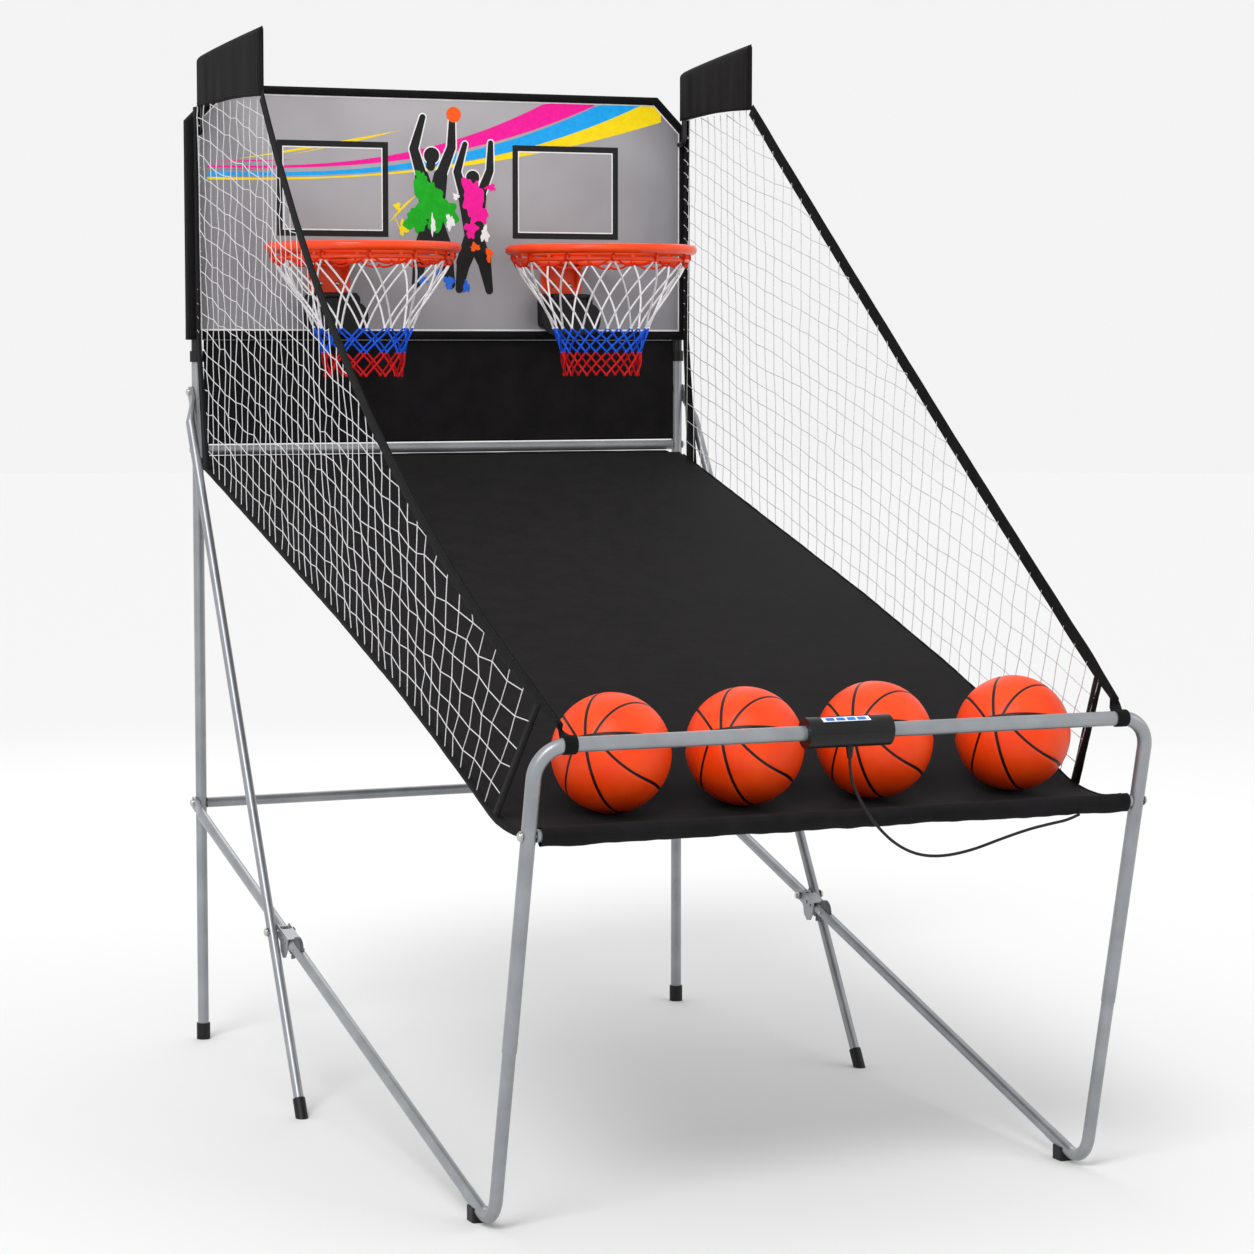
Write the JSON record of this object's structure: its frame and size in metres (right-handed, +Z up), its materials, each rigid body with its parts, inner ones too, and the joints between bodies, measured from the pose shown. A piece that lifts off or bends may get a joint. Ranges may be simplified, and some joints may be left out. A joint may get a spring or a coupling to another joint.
{
  "type": "basketball shooting game",
  "caption": "Folding indoor basketball game: hoops with scoring paddles on a board, a cloth ball-return ramp, side nets, a rail-mounted controller and a latched fold-up front frame.",
  "frame": {"origin": "centre of the bounding box's footprint, on the floor", "axes": "+X to the player's right, +Y from the player towards the board, +Z up; the player stands at -Y"},
  "size_m": [1.061, 1.7394, 1.83],
  "materials": {
    "silver_tube": "satin grey powder coat",
    "bare_tube": "satin grey powder coat",
    "zinc": "zinc plated",
    "black_plastic": "satin",
    "latch_plastic": "satin",
    "board": "printed grey fibreboard",
    "black_cloth": "woven polyester",
    "black_tube": "black",
    "net": "white knotless netting",
    "hoop_orange": "gloss orange",
    "hoop_cord": "white, blue and red braided cord",
    "ball_rubber": "pebbled orange",
    "pcb": "green laminate",
    "switch": "black",
    "button_blue": "gloss blue",
    "cell": "nickel",
    "cord": "soft PVC"
  },
  "bodies": {
    "rear_frame": {"board_border": "black_cloth", "board_frame": "bare_tube", "board_lower_tube": "bare_tube", "board_panel": "board", "brace_leg_left": "silver_tube", "brace_leg_right": "silver_tube", "catch_plates": "silver_tube", "edge_straps": "black_cloth", "frame_bolts": "zinc", "frame_nuts": "zinc", "hoop_bracket_left": "hoop_orange", "hoop_bracket_right": "hoop_orange", "hoop_net_left": "hoop_cord", "hoop_net_right": "hoop_cord", "hoop_rim_left": "hoop_orange", "hoop_rim_right": "hoop_orange", "hoop_screws": "zinc", "leg_caps": "black_plastic", "lower_cross_tube": "silver_tube", "lower_panel": "black_cloth", "net_borders": "black_cloth", "post_collars": "black_plastic", "ramp": "black_cloth", "ramp_rear_tube": "silver_tube", "rear_post_left": "silver_tube", "rear_post_right": "silver_tube", "rear_strut_left": "silver_tube", "rear_strut_right": "silver_tube", "sensor_box_left": "black_plastic", "sensor_box_right": "black_plastic", "sensor_switches": "switch", "side_nets": "net", "wing_panel_left": "black_cloth", "wing_panel_right": "black_cloth", "wing_tubes": "black_tube"},
    "front_frame": {"front_rail": "silver_tube", "front_feet": "silver_tube", "front_struts": "silver_tube", "knee_brackets": "silver_tube", "latch_pins": "zinc", "floor_pads": "black_plastic", "ramp_front_tube": "silver_tube", "leg_bolts": "zinc", "controller_shell_top": "black_plastic", "controller_shell_bottom": "black_plastic", "controller_board": "pcb", "batteries": "cell", "controller_cord": "cord"},
    "ball_1": {"ball_1": "ball_rubber"},
    "ball_2": {"ball_2": "ball_rubber"},
    "ball_3": {"ball_3": "ball_rubber"},
    "ball_4": {"ball_4": "ball_rubber"},
    "button_1": {"button_1": "button_blue"},
    "button_2": {"button_2": "button_blue"},
    "button_3": {"button_3": "button_blue"},
    "button_4": {"button_4": "button_blue"},
    "latch_lever_left": {"latch_lever_left": "latch_plastic"},
    "latch_lever_right": {"latch_lever_right": "latch_plastic"},
    "sensor_lever_left": {"sensor_lever_left": "black_plastic"},
    "sensor_lever_right": {"sensor_lever_right": "black_plastic"}
  },
  "joints": [
    {"name": "front_fold", "type": "hinge", "parent": "rear_frame", "child": "front_frame", "pos_m": [0, 0.31525, 0.28664], "axis": [-1, 0, 0], "range_deg": [0, 78], "deforming": ["ramp", "side_nets", "edge_straps", "net_borders"]},
    {"name": "latch_left", "type": "hinge", "parent": "front_frame", "child": "latch_lever_left", "pos_m": [-0.495, 0.23584, 0.26608], "axis": [-1, 0, 0], "range_deg": [0, 35], "stiffness_Nm_per_rad": 0.4},
    {"name": "latch_right", "type": "hinge", "parent": "front_frame", "child": "latch_lever_right", "pos_m": [0.495, 0.23584, 0.26608], "axis": [-1, 0, 0], "range_deg": [0, 35], "stiffness_Nm_per_rad": 0.4},
    {"name": "sensor_left", "type": "hinge", "parent": "rear_frame", "child": "sensor_lever_left", "pos_m": [-0.232, 0.79075, 1.373], "axis": [-1, 0, 0], "range_deg": [0, 7], "stiffness_Nm_per_rad": 0.3},
    {"name": "sensor_right", "type": "hinge", "parent": "rear_frame", "child": "sensor_lever_right", "pos_m": [0.232, 0.79075, 1.373], "axis": [-1, 0, 0], "range_deg": [0, 7], "stiffness_Nm_per_rad": 0.3},
    {"name": "button_1_press", "type": "slide", "parent": "front_frame", "child": "button_1", "axis": [0, 0.4226, -0.9063], "range_m": [0, 0.0008], "stiffness_N_per_m": 300},
    {"name": "button_2_press", "type": "slide", "parent": "front_frame", "child": "button_2", "axis": [0, 0.4226, -0.9063], "range_m": [0, 0.0008], "stiffness_N_per_m": 300},
    {"name": "button_3_press", "type": "slide", "parent": "front_frame", "child": "button_3", "axis": [0, 0.4226, -0.9063], "range_m": [0, 0.0008], "stiffness_N_per_m": 300},
    {"name": "button_4_press", "type": "slide", "parent": "front_frame", "child": "button_4", "axis": [0, 0.4226, -0.9063], "range_m": [0, 0.0008], "stiffness_N_per_m": 300},
    {"name": "ball_1_lift", "type": "slide", "parent": "rear_frame", "child": "ball_1", "axis": [0, 0, 1], "range_m": [0, 0.35]},
    {"name": "ball_2_lift", "type": "slide", "parent": "rear_frame", "child": "ball_2", "axis": [0, 0, 1], "range_m": [0, 0.35]},
    {"name": "ball_3_lift", "type": "slide", "parent": "rear_frame", "child": "ball_3", "axis": [0, 0, 1], "range_m": [0, 0.35]},
    {"name": "ball_4_lift", "type": "slide", "parent": "rear_frame", "child": "ball_4", "axis": [0, 0, 1], "range_m": [0, 0.35]}
  ]
}
